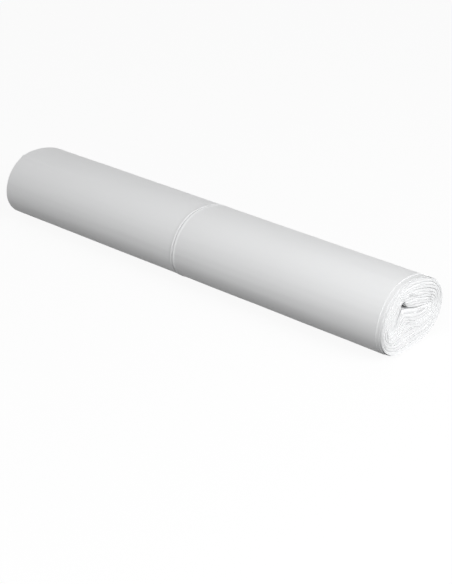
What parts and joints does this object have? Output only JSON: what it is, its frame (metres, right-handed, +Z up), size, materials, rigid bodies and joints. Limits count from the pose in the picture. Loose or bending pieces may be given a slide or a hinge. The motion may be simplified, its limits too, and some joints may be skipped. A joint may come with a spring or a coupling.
{
  "type": "bin bag roll",
  "caption": "Coreless roll of folded white film bin bags, slumped to a soft oval with a collapsed middle, lying on its flat side.",
  "frame": {"origin": "centre of the footprint of the roll, on the surface that it rests on", "axes": "+X along the roll, towards the end that the picture shows; +Y across it, away from the camera's side; +Z up"},
  "size_m": [0.375, 0.077, 0.054],
  "materials": {
    "film": "satin white polyethylene film, slightly translucent at its edges"
  },
  "bodies": {
    "root": {"bag_roll": "film"}
  },
  "joints": []
}
